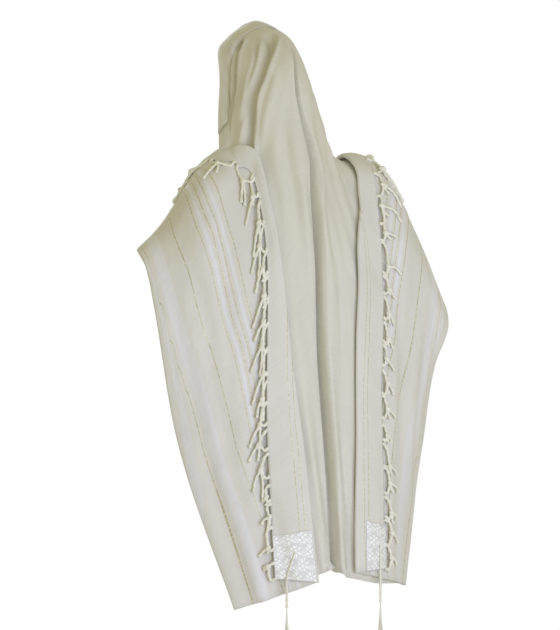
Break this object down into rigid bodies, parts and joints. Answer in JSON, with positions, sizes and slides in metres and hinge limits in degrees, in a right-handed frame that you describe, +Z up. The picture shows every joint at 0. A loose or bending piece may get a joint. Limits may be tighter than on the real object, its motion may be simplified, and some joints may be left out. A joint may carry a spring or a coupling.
{
  "type": "tallit prayer shawl",
  "caption": "Striped white wool prayer shawl worn over the head, with its sides folded back over the shoulders, fringed edges, brocade corner patches and tzitzit.",
  "frame": {"origin": "crown of the head just under the cloth, where a head holds the shawl up", "axes": "+Z up, +Y the way the wearer faces, +X to the wearer's right hand"},
  "size_m": [0.7371, 0.3594, 1.4708],
  "materials": {
    "wool": "fine matt ivory wool with woven stripes",
    "band": "smooth ivory neckband",
    "brocade": "white satin brocade",
    "yarn": "cream twisted yarn"
  },
  "bodies": {
    "root": {"hood": "wool", "back": "wool", "left_front": "wool", "right_front": "wool", "left_fold": "wool", "right_fold": "wool", "left_end": "wool", "right_end": "wool", "atara": "band", "corner_patch_back_left": "brocade", "corner_patch_back_right": "brocade", "corner_patch_front_left": "brocade", "corner_patch_front_right": "brocade", "fringe_left": "yarn", "fringe_right": "yarn", "tzitzit_back_left": "yarn", "tzitzit_back_right": "yarn", "tzitzit_front_left": "yarn", "tzitzit_front_right": "yarn"}
  },
  "joints": []
}
